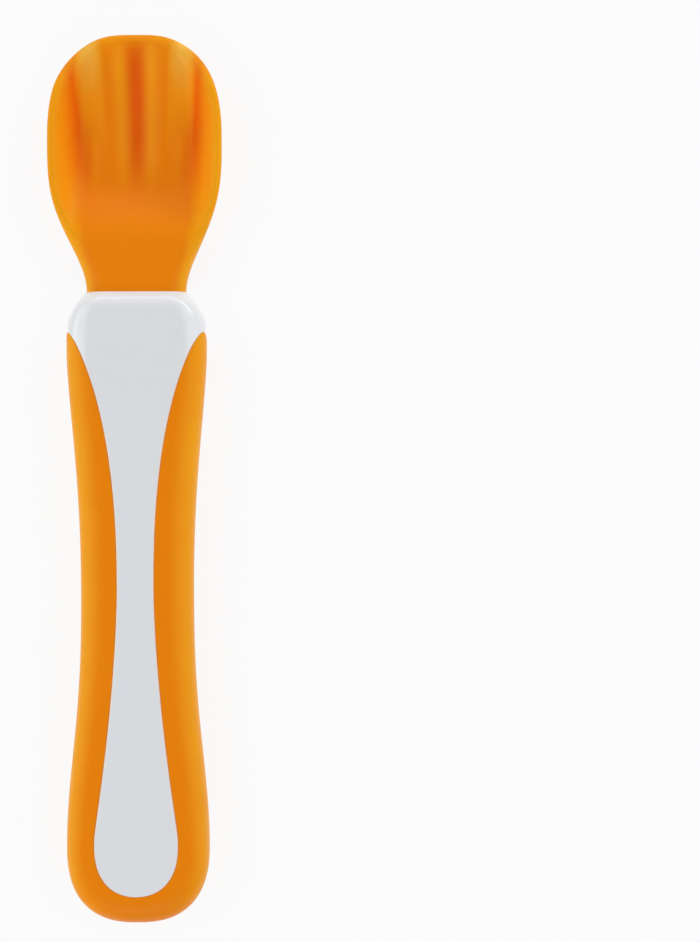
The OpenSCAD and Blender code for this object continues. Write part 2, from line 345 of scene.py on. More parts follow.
    def web_edge(self, inner: Vector, outer: Vector) -> Vector:
        """Find where the core's web ends between the panel's edge and the outline.

        Args:
            inner: Point of the panel's edge.
            outer: Point of the outline that goes with it.

        Returns:
            The web's edge as x and u.
        """
        band = (outer - inner).length
        room = clamp(band / self.grip_wall - self.web_room)
        return inner.lerp(outer, room * (1.0 - self.grip_wall / band))

    def rounding(self, inner: Vector, outer: Vector) -> float:
        """Work out the width over which the faces round off beside the outline.

        Args:
            inner: Point of the panel's edge.
            outer: Point of the outline that goes with it.

        Returns:
            The width.
        """
        if outer.y < self.waist_at:
            return self.edge_round
        return min(self.edge_round, (outer - inner).length)

    def spot(self, point: Vector, height: float, painted_light: float, painted_highlight: float = 0.0) -> Spot:
        """Return the spot at x and u, a height above or below the parting line, with its painted
        light and highlight.
        """
        return Spot(point.x, self.front_y - point.y, self.middle_z + height, painted_light, painted_highlight=painted_highlight)


@dataclass(frozen=True)
class BowlForm:
    """Outline, basin, flutes and underside of the soft bowl head."""

    handle: HandleForm
    length: float
    width: float
    rim_z: float
    wide_at: float = 17.0 * MM
    depth: float = 6.2 * MM
    basin_run: float = 15.0 * MM
    tip_depth: float = 2.4 * MM
    tip_open: float = 9.0 * MM
    floor: float = 1.9 * MM
    lip: float = 0.75 * MM
    wall_round: float = 1.0 * MM
    basin_back: float = 5.6 * MM
    basin_heel: float = 17.5 * MM
    rib_height: float = 1.4 * MM
    rib_tip_share: float = 0.5
    rib_rise: float = 6.0 * MM
    rib_fade_at: float = 15.0 * MM
    rib_fade: float = 12.0 * MM
    flute_tip_width: float = 20.6 * MM
    flute_heel_width: float = 13.7 * MM
    neck_blend: float = 14.0 * MM
    wall_slope: float = 1.76
    under_slope: float = 1.9
    lip_power: float = 2.0
    wall_power: float = 6.0
    heel_power: float = 2.5
    under_power: float = 3.0
    tip_power: float = 2.53
    shoulder_ease: float = 1.53
    basin_ease: float = 1.2
    # Painted light on the walls near the outline and on the rib flanks that face the lamps.
    glow_reach: float = 1.9 * MM
    glow_power: float = 1.5
    flank_glow: float = 0.7
    flank_power: float = 2.0
    tip_glow_at: float = 9.0 * MM
    tip_glow_run: float = 14.0 * MM
    tip_glow_power: float = 0.35
    # Painted highlight on the outer flanks near the tip.
    highlight_at: float = 1.5 * MM
    highlight_run: float = 9.5 * MM
    highlight_power: float = 0.8
    # Painted light on the lip all round the outline.
    edge_glow: float = 0.6
    edge_glow_reach: float = 2.2 * MM
    # Painted shade in the flutes, darkest at their bottoms and weaker in the outer flutes.
    shade_power: float = 3.0
    side_shade: float = 0.75

    def half(self, s: float) -> float:
        """Work out the bowl head's half width.

        Args:
            s: Distance from the tip.

        Returns:
            The half width.
        """
        if s < self.wide_at:
            return self.width / 2.0 * swell(s / self.wide_at, self.tip_power)
        share = clamp((s - self.wide_at) / (self.length - self.wide_at))
        return mix(self.width, self.handle.neck_width, ease(share**self.shoulder_ease)) / 2.0

    def outness(self, x: float, s: float) -> float:
        """Work out how far out a point lies.

        Args:
            x: Distance from the middle.
            s: Distance from the tip.

        Returns:
            0 in the middle to 1 on the outline.
        """
        if s >= self.wide_at:
            return min(abs(x) / self.half(s), 1.0)
        across = (abs(x) / (self.width / 2.0)) ** self.tip_power
        along = (1.0 - s / self.wide_at) ** self.tip_power
        return min((across + along) ** (1.0 / self.tip_power), 1.0)

    def inward(self, x: float, s: float) -> float:
        """Return the distance in from the outline."""
        return (1.0 - self.outness(x, s)) * self.half(max(s, self.wide_at))

    def flute_half(self, s: float) -> float:
        """Return how far from the middle the bottom of an outer flute lies."""
        return mix(self.flute_tip_width, self.flute_heel_width, s / self.length) / 2.0

    def ridge(self, x: float, s: float) -> float:
        """Return how far up a rib a point lies, from 0 in a flute to 1 on a crest."""
        return (1.0 - math.cos(2.0 * math.pi * min(abs(x) / self.flute_half(s), 1.0))) / 2.0

    def rib_reach(self, s: float) -> float:
        """Return the share of their height that the ribs have at s."""
        begun = mix(self.rib_tip_share, 1.0, ease(s / self.rib_rise))
        return begun * (1.0 - ease((s - self.rib_fade_at) / self.rib_fade))

    def basin(self, s: float) -> float:
        """Work out the depth of the flutes below the rim.

        Args:
            s: Distance from the tip.

        Returns:
            The depth, 0 behind the basin's heel.
        """
        sunk = mix(self.tip_depth, self.depth, ease(s / self.basin_run))
        end = self.length - self.basin_back
        rise = clamp(1.0 - (end - s) / self.basin_heel)
        return sunk * (1.0 - ease(rise**self.basin_ease))

    def channel(self, x: float, s: float) -> float:
        """Return the depth of the fluted channel below the rim."""
        return self.basin(s) - self.rib_height * self.rib_reach(s) * self.ridge(x, s)

    def walled(self, s: float) -> float:
        """Return how far the side walls have risen from the tip."""
        return ease(s / self.tip_open)

    def wall(self, inward: float) -> float:
        """Work out the depth of the wall inside the lip.

        Args:
            inward: Distance in from the outline.

        Returns:
            The depth, 0 on the lip.
        """
        past = max(inward - self.lip, 0.0)
        if past < self.wall_round:
            return self.wall_slope * past * past / (2.0 * self.wall_round)
        return self.wall_slope * (past - self.wall_round / 2.0)

    def under(self, s: float) -> float:
        """Work out how far the underside lies below the rim along the middle.

        Args:
            s: Distance from the tip.

        Returns:
            The distance.
        """
        neck_under = self.handle.middle_z - self.handle.neck_thickness / 2.0
        rise = ease((s - self.wide_at) / (self.length - self.wide_at))
        return mix(self.basin(min(s, self.wide_at)) + self.floor, self.rim_z - neck_under, rise)

    def neck_share(self, s: float) -> float:
        """Return how far the section has turned into the neck's."""
        return ease((s - (self.length - self.basin_back / 2.0 - self.neck_blend)) / self.neck_blend)

    def neck_face(self, x: float, s: float) -> float:
        """Return the half thickness of the neck's section at a point."""
        inward = self.half(s) - abs(x)
        return self.handle.skin(inward, self.handle.neck_round, self.handle.neck_thickness / 2.0)

    def top_z(self, x: float, s: float) -> float:
        """Work out the height of the bowl's inside, its lip or the neck's top.

        Args:
            x: Distance from the middle.
            s: Distance from the tip.

        Returns:
            The height above the table.
        """
        inward, channel = self.inward(x, s), self.channel(x, s)
        lip = mix(self.handle.land / 2.0, self.lip, swell(inward / self.lip, self.lip_power))
        cut = channel * (1.0 - self.walled(s))
        power = mix(self.wall_power, self.heel_power, ease((s - self.rib_fade_at) / self.rib_fade))
        sunk = soft_min(self.wall(inward), channel - cut, power)
        cup = self.rim_z - self.lip + lip - cut - sunk
        return mix(cup, self.handle.middle_z + self.neck_face(x, s), self.neck_share(s))

    def under_z(self, x: float, s: float) -> float:
        """Work out the height of the underside.

        Args:
            x: Distance from the middle.
            s: Distance from the tip.

        Returns:
            The height above the table.
        """
        cut = self.channel(x, s) * (1.0 - self.walled(s))
        edge = self.lip + self.handle.land / 2.0 + cut
        steep = self.under_slope * self.inward(x, s)
        sunk = soft_min(steep, self.under(s) - edge, self.under_power)
        cup = self.rim_z - edge - sunk
        return mix(cup, self.handle.middle_z - self.neck_face(x, s), self.neck_share(s))

    def edge_glow_at(self, x: float, s: float) -> float:
        """Work out the painted light on the walls and lip near the bowl's outline.

        Args:
            x: Distance from the middle.
            s: Distance from the tip.

        Returns:
            The share of painted light, from 0 to 1.
        """
        half = self.half(s)
        side = (half - abs(x)) / max(half - self.flute_half(s), self.glow_reach)
        edge = self.edge_glow * (1.0 - ease(self.inward(x, s) / self.edge_glow_reach))
        return max((1.0 - ease(side**self.glow_power)) * self.walled(s), edge)

    def under_spot(self, x: float, s: float) -> Spot:
        """Return the spot of the underside at x and s."""
        y = self.handle.front_y + self.length - s
        # The underside carries painted light near the outline.
        return Spot(x, y, self.under_z(x, s), self.edge_glow_at(x, s))

    def top_spot(self, x: float, s: float) -> Spot:
        """Find the spot of the inside above a place in plan.

        Args:
            x: Distance from the middle.
            s: Distance from the tip.

        Returns:
            The spot, with its painted light, its painted shade in the flutes and its painted
            highlight near the tip.
        """
        ridge, reach = self.ridge(x, s), self.rib_reach(s)
        # Painted light on the rib flanks that face the lamps.
        flank = 4.0 * ridge * (1.0 - ridge)
        painted_light = max(self.edge_glow_at(x, s), self.flank_glow * reach * flank**self.flank_power)
        # sunk is the painted shade, darkest at the bottom of each flute.
        sunk, painted_highlight = reach * (1.0 - ridge) ** self.shade_power, 0.0
        # Outer flanks near the tip carry more painted light, a painted highlight and less painted
        # shade.
        if abs(x) > self.flute_half(s) / 2.0:
            left = 1.0 - ease((s - self.tip_glow_at) / self.tip_glow_run)
            painted_light = max(painted_light, left * flank**self.tip_glow_power)
            painted_highlight = (1.0 - ease((s - self.highlight_at) / self.highlight_run)) * flank**self.highlight_power
            sunk *= self.side_shade
        y = self.handle.front_y + self.length - s
        return Spot(x, y, self.top_z(x, s), painted_light, sunk, painted_highlight)


class Skin:
    """A closed skin, laid as one grid over rows of spots on the +X side and mirrored."""

    MERGE = 0.0005 * MM
    LEVEL = 0.01 * MM
    SHARP_ANGLE = 50.0

    def __init__(self, rows: Sequence[Sequence[Spot]]) -> None:
        """Lay the grid.

        Args:
            rows: Rows of equally many spots each.
        """
        self.mesh = bmesh.new()
        across, along = len(rows[0]) - 1, len(rows) - 1
        bmesh.ops.create_grid(self.mesh, x_segments=across, y_segments=along, size=1.0)
        layers = {mask: self.mesh.verts.layers.float.new(mask.value) for mask in Mask}
        self.mesh.verts.ensure_lookup_table()
        for vert, spot in zip(self.mesh.verts, chain.from_iterable(rows)):
            vert.co = Vector((spot.x, spot.y, spot.z))
            # Write the masks of painted light, painted shade and painted highlight.
            vert[layers[Mask.GLOW]] = spot.painted_light
            vert[layers[Mask.PAINTED_SHADE]] = spot.painted_shade
            vert[layers[Mask.PAINTED_HIGHLIGHT]] = spot.painted_highlight
        self.merge()

    def merge(self) -> None:
        """Merge spots that coincide and drop the faces that this closes."""
        bmesh.ops.remove_doubles(self.mesh, verts=self.mesh.verts, dist=self.MERGE)
        bmesh.ops.dissolve_degenerate(self.mesh, dist=self.MERGE / 2.0, edges=self.mesh.edges)

    def mirror(self) -> None:
        """Add the -X side and join the two along the middle."""
        parts = [*self.mesh.verts, *self.mesh.edges, *self.mesh.faces]
        place = Matrix.Identity(4)
        bmesh.ops.mirror(self.mesh, geom=parts, matrix=place, merge_dist=self.MERGE, axis="X")
        self.merge()

    def cap(self, y: float) -> list[Face]:
        """Close the open loop that lies across the spoon.

        Args:
            y: Place of the loop.

        Returns:
            The new faces.
        """
        rim = [edge for edge in self.mesh.edges if edge.is_boundary and self.lies_at(edge, y)]
        return bmesh.ops.holes_fill(self.mesh, edges=rim, sides=0)["faces"]

    @staticmethod
    def lies_at(edge: bmesh.types.BMEdge, y: float) -> bool:
        """Return whether an edge lies across the spoon at y."""
        return all(abs(vert.co.y - y) < Skin.LEVEL for vert in edge.verts)

    def step(self, face: Face, width: float, height: float, travel: float) -> Face:
        """Push a cap along the spoon as a plug or a pocket of a new size.

        Args:
            face: The cap to push.
            width: Its new width.
            height: Its new height.
            travel: How far it moves along Y.

        Returns:
            The moved cap.
        """
        moved = bmesh.ops.extrude_discrete_faces(self.mesh, faces=[face])["faces"][0]
        low = Vector([min(vert.co[i] for vert in moved.verts) for i in range(3)])
        high = Vector([max(vert.co[i] for vert in moved.verts) for i in range(3)])
        centre, size = (low + high) / 2.0, high - low
        resize = Matrix.Diagonal((width / size.x, 1.0, height / size.z, 1.0))
        place = Matrix.Translation(centre + Vector((0.0, travel, 0.0)))
        push = place @ resize @ Matrix.Translation(-centre)
        bmesh.ops.transform(self.mesh, matrix=push, verts=list(moved.verts))
        return moved

    def finish(self, name: str) -> bpy.types.Object:
        """Turn the skin into a smooth piece that rides on the spoon.

        Args:
            name: Name of the piece.

        Returns:
            The piece.
        """
        bmesh.ops.recalc_face_normals(self.mesh, faces=self.mesh.faces)
        for face in self.mesh.faces:
            face.smooth = True
        piece = settle(name, self.mesh)
        piece.data.set_sharp_from_angle(angle=math.radians(self.SHARP_ANGLE))
        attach(piece, BODY)
        return piece


class Effect(Enum):
    """Shared effects, each one node group."""

    DRIFT = "colour_drift"
    GRAIN = "mould_grain"
    WEAR = "handling_wear"


class Pattern(NamedTuple):
    """A noise in waves for each metre and octaves, and the values that become 0 and 1."""

    scale: float
    detail: float
    low: float = 0.0
    high: float = 1.0


class Tree:
    """Short ways to add and link nodes in a tree."""

    MIX_COLOURS = (6, 7)
    MIX_RESULT = 2

    def __init__(self, tree: bpy.types.NodeTree) -> None:
        """Start with an empty tree."""
        self.tree = tree
        self.tree.nodes.clear()

    def add(self, kind: str, **settings: object) -> Node:
        """Add a node.

        Args:
            kind: The node's type.
            **settings: Its properties.

        Returns:
            The node.
        """
        node = self.tree.nodes.new(kind)
        for name, value in settings.items():
            setattr(node, name, value)
        return node

    def link(self, source: Socket, target: Socket) -> None:
        """Link an output to an input."""
        self.tree.links.new(source, target)

    def mask(self, mask: Mask) -> Socket:
        """Read a mask that the skin carries."""
        return self.add("ShaderNodeAttribute", attribute_name=mask.value).outputs["Fac"]

    def noise(self, vector: Socket, pattern: Pattern) -> Node:
        """Add a noise texture.

        Args:
            vector: Coordinates that it reads.
            pattern: Its scale and detail.

        Returns:
            The texture's node.
        """
        texture = self.add("ShaderNodeTexNoise")
        texture.inputs["Scale"].default_value = pattern.scale
        texture.inputs["Detail"].default_value = pattern.detail
        self.link(vector, texture.inputs["Vector"])
        return texture

    def spread(self, value: Socket, pattern: Pattern) -> Socket:
        """Stretch the middle of a noise to 0 and 1.

        Args:
            value: The noise.
            pattern: Its values that become 0 and 1.

        Returns:
            The stretched value's socket.
        """
        node = self.add("ShaderNodeMapRange", interpolation_type="SMOOTHSTEP")
        node.inputs["From Min"].default_value = pattern.low
        node.inputs["From Max"].default_value = pattern.high
        self.link(value, node.inputs["Value"])
        return node.outputs[0]

    def clouds(self, vector: Socket, pattern: Pattern) -> Socket:
        """Add a noise texture and stretch it."""
        return self.spread(self.noise(vector, pattern).outputs[0], pattern)

    def blend(self, factor: Socket, first: Socket | Colour, second: Socket | Colour) -> Socket:
        """Mix two colours.

        Args:
            factor: Share of the second colour.
            first: A colour or a socket.
            second: A colour or a socket.

        Returns:
            The mixed colour's socket.
        """
        node = self.add("ShaderNodeMix", data_type="RGBA")
        self.link(factor, node.inputs["Factor"])
        for place, colour in zip(self.MIX_COLOURS, (first, second)):
            if isinstance(colour, tuple):
                node.inputs[place].default_value = (*colour, 1.0)
            else:
                self.link(colour, node.inputs[place])
        return node.outputs[self.MIX_RESULT]

    def math(self, operation: str, first: Socket, second: Socket | float) -> Socket:
        """Combine two values.

        Args:
            operation: The math node's operation.
            first: A socket.
            second: A socket or a number.

        Returns:
            The result's socket.
        """
        node = self.add("ShaderNodeMath", operation=operation)
        self.link(first, node.inputs[0])
        if isinstance(second, float):
            node.inputs[1].default_value = second
        else:
            self.link(second, node.inputs[1])
        return node.outputs[0]

    def join(self, share: Socket, first: Node, second: Node) -> Socket:
        """Mix two shaders.

        Args:
            share: Share of the second shader.
            first: A shader.
            second: A shader.

        Returns:
            The mixed shader's socket.
        """
        node = self.add("ShaderNodeMixShader")
        for place, socket in enumerate((share, first.outputs[0], second.outputs[0])):
            self.link(socket, node.inputs[place])
        return node.outputs[0]


class EffectShelf:
    """Builds each shared effect once and places it in materials."""

    BROAD = Pattern(55.0, 2.0, 0.38, 0.66)
    CLOSE = Pattern(420.0, 3.0, 0.3, 0.7)
    CLOSE_SHARE = 0.35
    FINE = Pattern(1.0, 3.0)
    WAVES = Pattern(160.0, 1.0)
    SMUDGES = Pattern(130.0, 4.0, 0.45, 0.7)
    STREAKS = Pattern(900.0, 2.0, 0.6, 0.75)
    STREAK_STRETCH = (6.0, 0.6, 3.0)

    def __init__(self) -> None:
        """Build the groups."""
        self.groups = {
            Effect.DRIFT: self.colour_drift(),
            Effect.GRAIN: self.mould_grain(),
            Effect.WEAR: self.handling_wear(),
        }

    @staticmethod
    def start(
        effect: Effect, takes: dict[str, str], gives: dict[str, str]
    ) -> tuple[Tree, Node, Node]:
        """Begin a group with its sockets.

        Args:
            effect: Which effect the group is.
            takes: Its inputs, name to socket type.
            gives: Its outputs, name to socket type.

        Returns:
            The group's tree, its input node and its output node.
        """
        group = bpy.data.node_groups.new(effect.value, "ShaderNodeTree")
        for name, kind in takes.items():
            group.interface.new_socket(name, in_out="INPUT", socket_type=kind)
        for name, kind in gives.items():
            group.interface.new_socket(name, in_out="OUTPUT", socket_type=kind)
        tree = Tree(group)
        return tree, tree.add("NodeGroupInput"), tree.add("NodeGroupOutput")

    def colour_drift(self) -> bpy.types.NodeTree:
        """Build the slow drift of a moulded colour towards a tint, in broad soft clouds.

        Returns:
            The group.
        """
        takes = {"Vector": VECTOR, "Color": COLOUR, "Tint": COLOUR, "Amount": VALUE}
        tree, source, sink = self.start(Effect.DRIFT, takes, {"Color": COLOUR})
        broad = tree.clouds(source.outputs["Vector"], self.BROAD)
        close = tree.clouds(source.outputs["Vector"], self.CLOSE)
        both = tree.math("ADD", broad, tree.math("MULTIPLY", close, self.CLOSE_SHARE))
        share = tree.math("MULTIPLY", both, source.outputs["Amount"])
        drifted = tree.blend(share, source.outputs["Color"], source.outputs["Tint"])
        tree.link(drifted, sink.inputs["Color"])
        return tree.tree

    def mould_grain(self) -> bpy.types.NodeTree:
        """Build the fine spark-eroded grain that a mould leaves, with a slow waviness under it.

        Returns:
            The group.
        """
        takes = {"Vector": VECTOR, "Scale": VALUE, "Waviness": VALUE}
        tree, source, sink = self.start(Effect.GRAIN, takes, {"Height": VALUE})
        fine = tree.noise(source.outputs["Vector"], self.FINE)
        pits = tree.add("ShaderNodeTexVoronoi", feature="SMOOTH_F1")
        tree.link(source.outputs["Vector"], pits.inputs["Vector"])
        for texture in (fine, pits):
            tree.link(source.outputs["Scale"], texture.inputs["Scale"])
        waves = tree.noise(source.outputs["Vector"], self.WAVES)
        slow = tree.math("MULTIPLY", waves.outputs[0], source.outputs["Waviness"])
        rough = tree.math("ADD", fine.outputs[0], pits.outputs["Distance"])
        tree.link(tree.math("ADD", rough, slow), sink.inputs["Height"])
        return tree.tree

    def handling_wear(self) -> bpy.types.NodeTree:
        """Build the faint smudges and rubbed streaks of a handled surface, as roughness.

        Returns:
            The group.
        """
        takes = {"Vector": VECTOR, "Roughness": VALUE, "Amount": VALUE}
        tree, source, sink = self.start(Effect.WEAR, takes, {"Roughness": VALUE})
        stretch = tree.add("ShaderNodeMapping")
        stretch.inputs["Scale"].default_value = self.STREAK_STRETCH
        tree.link(source.outputs["Vector"], stretch.inputs["Vector"])
        smudges = tree.clouds(source.outputs["Vector"], self.SMUDGES)
        streaks = tree.clouds(stretch.outputs[0], self.STREAKS)
        either = tree.math("MAXIMUM", smudges, streaks)
        added = tree.math("MULTIPLY", either, source.outputs["Amount"])
        tree.link(tree.math("ADD", source.outputs["Roughness"], added), sink.inputs["Roughness"])
        return tree.tree

    def place(self, tree: Tree, effect: Effect, vector: Socket, **values: object) -> Node:
        """Put an effect into a material.

        Args:
            tree: The material's tree.
            effect: Which effect.
            vector: Coordinates that it reads.
            **values: Its other inputs, as sockets, colours or numbers.

        Returns:
            The group's node.
        """
        node = tree.add("ShaderNodeGroup", node_tree=self.groups[effect])
        tree.link(vector, node.inputs["Vector"])
        for name, value in values.items():
            socket = node.inputs[name.capitalize()]
            if isinstance(value, Socket):
                tree.link(value, socket)
            else:
                socket.default_value = (*value, 1.0) if isinstance(value, tuple) else value
        return node


@dataclass(frozen=True)
class Finish:
    """What every moulded finish has."""

    name: str
    base: Colour
    tint: Colour
    ior: float
    roughness: float
    drift: float
    grain_scale: float
    grain_depth: float
    waviness: float
    wear: float

    def colour(self, tree: Tree) -> Socket | Colour:
        """Return the colour before it drifts, here one that needs no nodes in the tree."""
        del tree
        return self.base

    def numbers(self) -> dict[str, float | Colour]:
        """Return the shader's own numbers by socket, to which a finish may add."""
        return {"IOR": self.ior}

    def material(self, shelf: EffectShelf) -> bpy.types.Material:
        """Build the material.

        Args:
            shelf: The shared effects.

        Returns:
            The material.
        """
        made = bpy.data.materials.new(self.name)
        made.use_nodes = True
        tree = Tree(made.node_tree)
        where = tree.add("ShaderNodeTexCoord").outputs["Object"]
        shader = tree.add("ShaderNodeBsdfPrincipled")
        tree.link(shader.outputs["BSDF"], tree.add("ShaderNodeOutputMaterial").inputs["Surface"])
        drift = shelf.place(
            tree, Effect.DRIFT, where, color=self.colour(tree), tint=self.tint, amount=self.drift
        )
        tree.link(drift.outputs["Color"], shader.inputs["Base Color"])
        wear = shelf.place(tree, Effect.WEAR, where, roughness=self.roughness, amount=self.wear)
        tree.link(wear.outputs["Roughness"], shader.inputs["Roughness"])
        grain = shelf.place(
            tree, Effect.GRAIN, where, scale=self.grain_scale, waviness=self.waviness
        )
        bump = tree.add("ShaderNodeBump")
        bump.inputs["Strength"].default_value = 1.0
        bump.inputs["Distance"].default_value = self.grain_depth
        tree.link(grain.outputs["Height"], bump.inputs["Height"])
        tree.link(bump.outputs["Normal"], shader.inputs["Normal"])
        for name, value in self.numbers().items():
            shader.inputs[name].default_value = value
        return made


@dataclass(frozen=True)
class ElastomerFinish(Finish):
    """Satin soft elastomer, with painted light along its outlines and rib flanks, a painted
    highlight near the tip and painted shade in its flutes.
    """

    # Colours of the painted light, painted shade and painted highlight.
    painted_light: Colour
    painted_shade: Colour
    painted_highlight: Colour
    specular: float
    softness: float
    bleed: Colour
    bleed_reach: float
    sheen: float
    sheen_roughness: float

    def colour(self, tree: Tree) -> Socket:
        """Mix in the painted shade, painted light and painted highlight by the masks that the skin
        carries.

        Args:
            tree: The material's tree.

        Returns:
            The mixed colour's socket.
        """
        body = tree.blend(tree.mask(Mask.PAINTED_SHADE), self.base, self.painted_shade)
        lit = tree.blend(tree.mask(Mask.GLOW), body, self.painted_light)
        return tree.blend(tree.mask(Mask.PAINTED_HIGHLIGHT), lit, self.painted_highlight)

    def numbers(self) -> dict[str, float | Colour]:
        """Let light bleed a little way through the soft wall.

        Returns:
            The shader's numbers by socket.
        """
        return super().numbers() | {
            "Specular IOR Level": self.specular,
            "Subsurface Weight": self.softness,
            "Subsurface Radius": self.bleed,
            "Subsurface Scale": self.bleed_reach,
            "Sheen Weight": self.sheen,
            "Sheen Roughness": self.sheen_roughness,
        }


@dataclass(frozen=True)
class PlasticFinish(Finish):
    """Hard moulded plastic, with a clear sheen on top if it is glossy."""

    coat: float
    coat_roughness: float

    def numbers(self) -> dict[str, float | Colour]:
        """Return the shader's numbers, with those of the clear sheen."""
        sheen = {"Coat Weight": self.coat, "Coat Roughness": self.coat_roughness}
        return super().numbers() | sheen


@dataclass(frozen=True)
class OvermouldedFinish(PlasticFinish):
    """Hard plastic, with a painted highlight on its rounded edges and a cream painted highlight
    along the panel's edge.
    """

    # Colour of the painted highlight on the rounded edges.
    edge: Colour
    # Colour of the cream painted highlight along the panel's edge.
    seam_highlight: Colour

    def colour(self, tree: Tree) -> Socket:
        """Mix in the painted highlights by the masks that the skin carries.

        Args:
            tree: The material's tree.

        Returns:
            The mixed colour's socket.
        """
        body = tree.blend(tree.mask(Mask.PAINTED_HIGHLIGHT), self.base, self.edge)
        return tree.blend(tree.mask(Mask.GLOW), body, self.seam_highlight)


SOFT_ORANGE = ElastomerFinish(
    name="soft_orange_elastomer",
    base=(0.93, 0.258, 0.0018),
    tint=(0.89, 0.225, 0.0015),
    ior=1.41,
    roughness=0.42,
    drift=0.16,
    grain_scale=5200.0,
    grain_depth=0.0022 * MM,
    waviness=2.0,
    wear=0.07,
    # Colours of the painted light, painted shade in the flutes and painted highlight near the tip.
    painted_light=(0.99, 0.405, 0.005),
    painted_shade=(0.85, 0.118, 0.002),
    painted_highlight=(0.99, 0.52, 0.07),
    specular=0.12,
    softness=0.12,
    bleed=(1.0, 0.35, 0.08),
    bleed_reach=1.2 * MM,
    sheen=0.15,
    sheen_roughness=0.3,
)
COOL_WHITE = OvermouldedFinish(
    name="gloss_cool_white_plastic",
    base=(0.80, 0.835, 0.86),
    tint=(0.815, 0.81, 0.85),
    ior=1.49,
    roughness=0.2,
    drift=0.5,
    grain_scale=2600.0,
    grain_depth=0.0006 * MM,
    waviness=6.0,
    wear=0.06,
    coat=0.2,
    coat_roughness=0.12,
    # Painted highlights: on the rounded edges, and cream along the panel's edge.
    edge=(0.89, 0.95, 0.97),
    seam_highlight=(0.98, 0.78, 0.56),
)
MATTE_CREAM = PlasticFinish(
    name="matte_cream_plastic",
    base=(0.80, 0.77, 0.70),
    tint=(0.72, 0.68, 0.60),
    ior=1.49,
    roughness=0.5,
    drift=0.4,
    grain_scale=3200.0,
    grain_depth=0.003 * MM,
    waviness=1.5,
    wear=0.08,
    coat=0.0,
    coat_roughness=0.12,
)


@dataclass
class BowlHead:
    """The soft fluted bowl with its neck and the plug behind it."""

    form: BowlForm
    across_steps: int = 64
    lip_steps: int = 12
    tip_steps: int = 84
    heel_steps: int = 84
    wall_crowding: float = 1.35

    def stations(self) -> list[float]:
        """Place the rows, crowded towards the round tip.

        Returns:
            Their distances from the tip.
        """
        power = 2.0 / self.form.tip_power
        angles = [math.pi / 2.0 * share for share in steps(self.tip_steps)]
        widest, end = self.form.wide_at, self.form.length
        tip = [widest * (1.0 - max(math.cos(angle), 0.0) ** power) for angle in angles]
        return tip + [mix(widest, end, share) for share in steps(self.heel_steps)[1:]]

    def places(self, s: float) -> list[float]:
        """Place the spots of one row.

        Args:
            s: Distance from the tip.

        Returns:
            Their distances from the middle, out to the outline.
        """
        half = self.form.half(s)
        inner = half * (1.0 - self.form.lip / (self.form.width / 2.0))
        left = [(1.0 - share) ** self.wall_crowding for share in steps(self.across_steps)]
        lip = [mix(inner, half, arc(share)) for share in steps(self.lip_steps)[1:]]
        return [inner * (1.0 - share) for share in left] + lip

    def row(self, s: float) -> list[Spot]:
        """Lay one row of spots.

        Args:
            s: Distance from the tip.

        Returns:
            The inside from the middle out, then the underside back.
        """
        places = self.places(s)
        top = [self.form.top_spot(x, s) for x in places]
        return top + [self.form.under_spot(x, s) for x in reversed(places)]

    def build(self) -> bpy.types.Object:
        """Build the piece that stands for the bowl.

        Returns:
            The piece.
        """
        skin = Skin([self.row(s) for s in self.stations()])
        skin.mirror()
        handle = self.form.handle
        (end,) = skin.cap(handle.front_y)
        plug = (handle.plug_width, handle.plug_thickness)
        skin.step(skin.step(end, *plug, 0.0), *plug, -handle.plug_length)
        piece = skin.finish("bowl_head")
        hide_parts("bowl")
        return piece


@dataclass
class GripSleeve:
    """The soft grip round both sides and the butt, grooved inside for the core's web."""

    form: HandleForm
    edge_bevel: float = 0.08 * MM
    band_for_bevel: float = 3.0
    straight_steps: int = 130
    end_steps: int = 64
    skin_steps: int = 30
    bevel_steps: int = 3
    # Width of the painted light on the grip's rounded sides.
    glow_width: float = 4.6 * MM

    def painted_light(self, inward: float) -> float:
        """Return the painted light on the rounded side at a distance in from the outline."""
        return 1.0 - ease(inward / self.glow_width)

    def face(self, place: float) -> list[tuple[Vector, float, float]]:
        """Lay the top face of one row.

        Args:
            place: 0 at the grip's tip, 1 where the ends begin to round, 2 at the butt's middle.

        Returns:
            Point, height and painted light of each spot, from the web out to the side.
        """
        form = self.form
        inner, outer = form.pair(place)
        # The painted light fades out round the butt.
        light_share = 1.0 - ease(place - 1.0)
        band = (outer - inner).length
        rounding = form.rounding(inner, outer)
        top = form.face(band, inner.y, rounding)
        web_z = min(form.web_thickness / 2.0, top / 2.0)
        spots = [(form.web_edge(inner, outer), web_z, 0.0), (inner, web_z, 0.0)]
        bevel = min(self.edge_bevel, band / self.band_for_bevel)
        for share in steps(self.bevel_steps):
            turn = math.pi / 2.0 * share
            inset = bevel * (1.0 - math.cos(turn))
            point = inner.lerp(outer, inset / band)
            height = form.face(band - inset, point.y, rounding) - bevel * (1.0 - math.sin(turn))
            spots.append((point, height, light_share * self.painted_light(band - inset)))
        for share in steps(self.skin_steps)[1:]:
            inward = (band - bevel) * (1.0 - arc(share))
            point = outer.lerp(inner, inward / band)
            spots.append((point, form.face(inward, point.y, rounding), light_share * self.painted_light(inward)))
        return spots

    def row(self, place: float) -> list[Spot]:
        """Lay one closed row round the band.

        Args:
            place: 0 at the grip's tip, 1 where the ends begin to round, 2 at the butt's middle.

        Returns:
            The spots, of which the last closes the row on the first.
        """
        half_row = self.face(place)
        top = [self.form.spot(point, height, painted_light) for point, height, painted_light in half_row]
        under = [self.form.spot(point, -height, painted_light) for point, height, painted_light in reversed(half_row)]
        return top + under + top[:1]

    def build(self) -> bpy.types.Object:
        """Build the piece that stands for the grip.

        Returns:
            The piece.
        """
        places = steps(self.straight_steps) + [1.0 + share for share in steps(self.end_steps)[1:]]
        skin = Skin([self.row(place) for place in places])
        skin.cap(self.form.front_y - self.form.notch_at)
        skin.mirror()
        piece = skin.finish("grip_sleeve")
        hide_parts("grip")
        return piece


